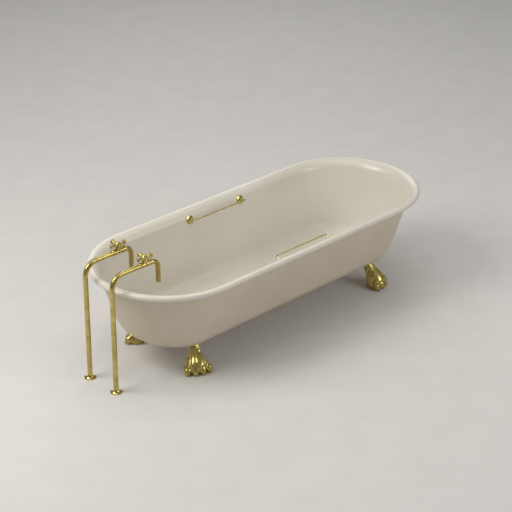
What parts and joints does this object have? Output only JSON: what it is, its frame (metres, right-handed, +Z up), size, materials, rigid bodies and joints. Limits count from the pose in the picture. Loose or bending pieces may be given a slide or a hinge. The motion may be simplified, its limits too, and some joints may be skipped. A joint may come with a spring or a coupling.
{
  "type": "bathtub",
  "caption": "Free-standing roll-top bathtub with cream enamel, brass lion-paw feet, floor-standing cross-handle bath taps, a waste with its plug, and grab rails inside.",
  "frame": {"origin": "on the floor, at the middle of the overall length and width", "axes": "+X along the tub from the tap end to the head end, +Y across it from the hot tap towards the cold tap, +Z up"},
  "size_m": [1.89, 0.7234, 0.593],
  "materials": {
    "tub_enamel": "glossy vitreous enamel inside, satin coat outside",
    "polished_brass": "polished",
    "plain_brass": "machined",
    "fixing_steel": "zinc plated",
    "black_rubber": "matt",
    "white_ceramic": "lapped"
  },
  "bodies": {
    "root": {"tub_shell": "tub_enamel", "paw_foot_tap_end_near": "polished_brass", "paw_foot_tap_end_far": "polished_brass", "paw_foot_head_end_near": "polished_brass", "paw_foot_head_end_far": "polished_brass", "foot_bolts": "fixing_steel", "foot_washers": "fixing_steel", "waste_flange": "polished_brass", "waste_seals": "black_rubber", "waste_backnut": "plain_brass", "riser_pipe_hot": "polished_brass", "spout_hot": "polished_brass", "floor_flange_hot": "polished_brass", "pipe_collars_hot": "polished_brass", "valve_body_hot": "polished_brass", "seat_seal_hot": "black_rubber", "fixed_disc_hot": "white_ceramic", "bonnet_hot": "polished_brass", "riser_pipe_cold": "polished_brass", "spout_cold": "polished_brass", "floor_flange_cold": "polished_brass", "pipe_collars_cold": "polished_brass", "valve_body_cold": "polished_brass", "seat_seal_cold": "black_rubber", "fixed_disc_cold": "white_ceramic", "bonnet_cold": "polished_brass", "grab_rail_near": "polished_brass", "rail_rosettes_near": "polished_brass", "rail_washers_near": "fixing_steel", "rail_nuts_near": "fixing_steel", "grab_rail_far": "polished_brass", "rail_rosettes_far": "polished_brass", "rail_washers_far": "fixing_steel", "rail_nuts_far": "fixing_steel"},
    "handle_hot": {"cross_handle_hot": "polished_brass", "spindle_hot": "plain_brass", "handle_cap_hot": "polished_brass", "handle_screw_hot": "fixing_steel", "turning_disc_hot": "white_ceramic"},
    "handle_cold": {"cross_handle_cold": "polished_brass", "spindle_cold": "plain_brass", "handle_cap_cold": "polished_brass", "handle_screw_cold": "fixing_steel", "turning_disc_cold": "white_ceramic"},
    "plug": {"waste_plug": "black_rubber", "plug_knob": "polished_brass"}
  },
  "joints": [
    {"name": "tap_turn_hot", "type": "hinge", "parent": "root", "child": "handle_hot", "pos_m": [-0.736, -0.087, 0.581], "axis": [0, 0, 1], "range_deg": [0, 90]},
    {"name": "tap_turn_cold", "type": "hinge", "parent": "root", "child": "handle_cold", "pos_m": [-0.736, 0.087, 0.581], "axis": [0, 0, 1], "range_deg": [0, 90]},
    {"name": "plug_lift", "type": "slide", "parent": "root", "child": "plug", "axis": [0, 0, 1], "range_m": [0, 0.06]}
  ]
}
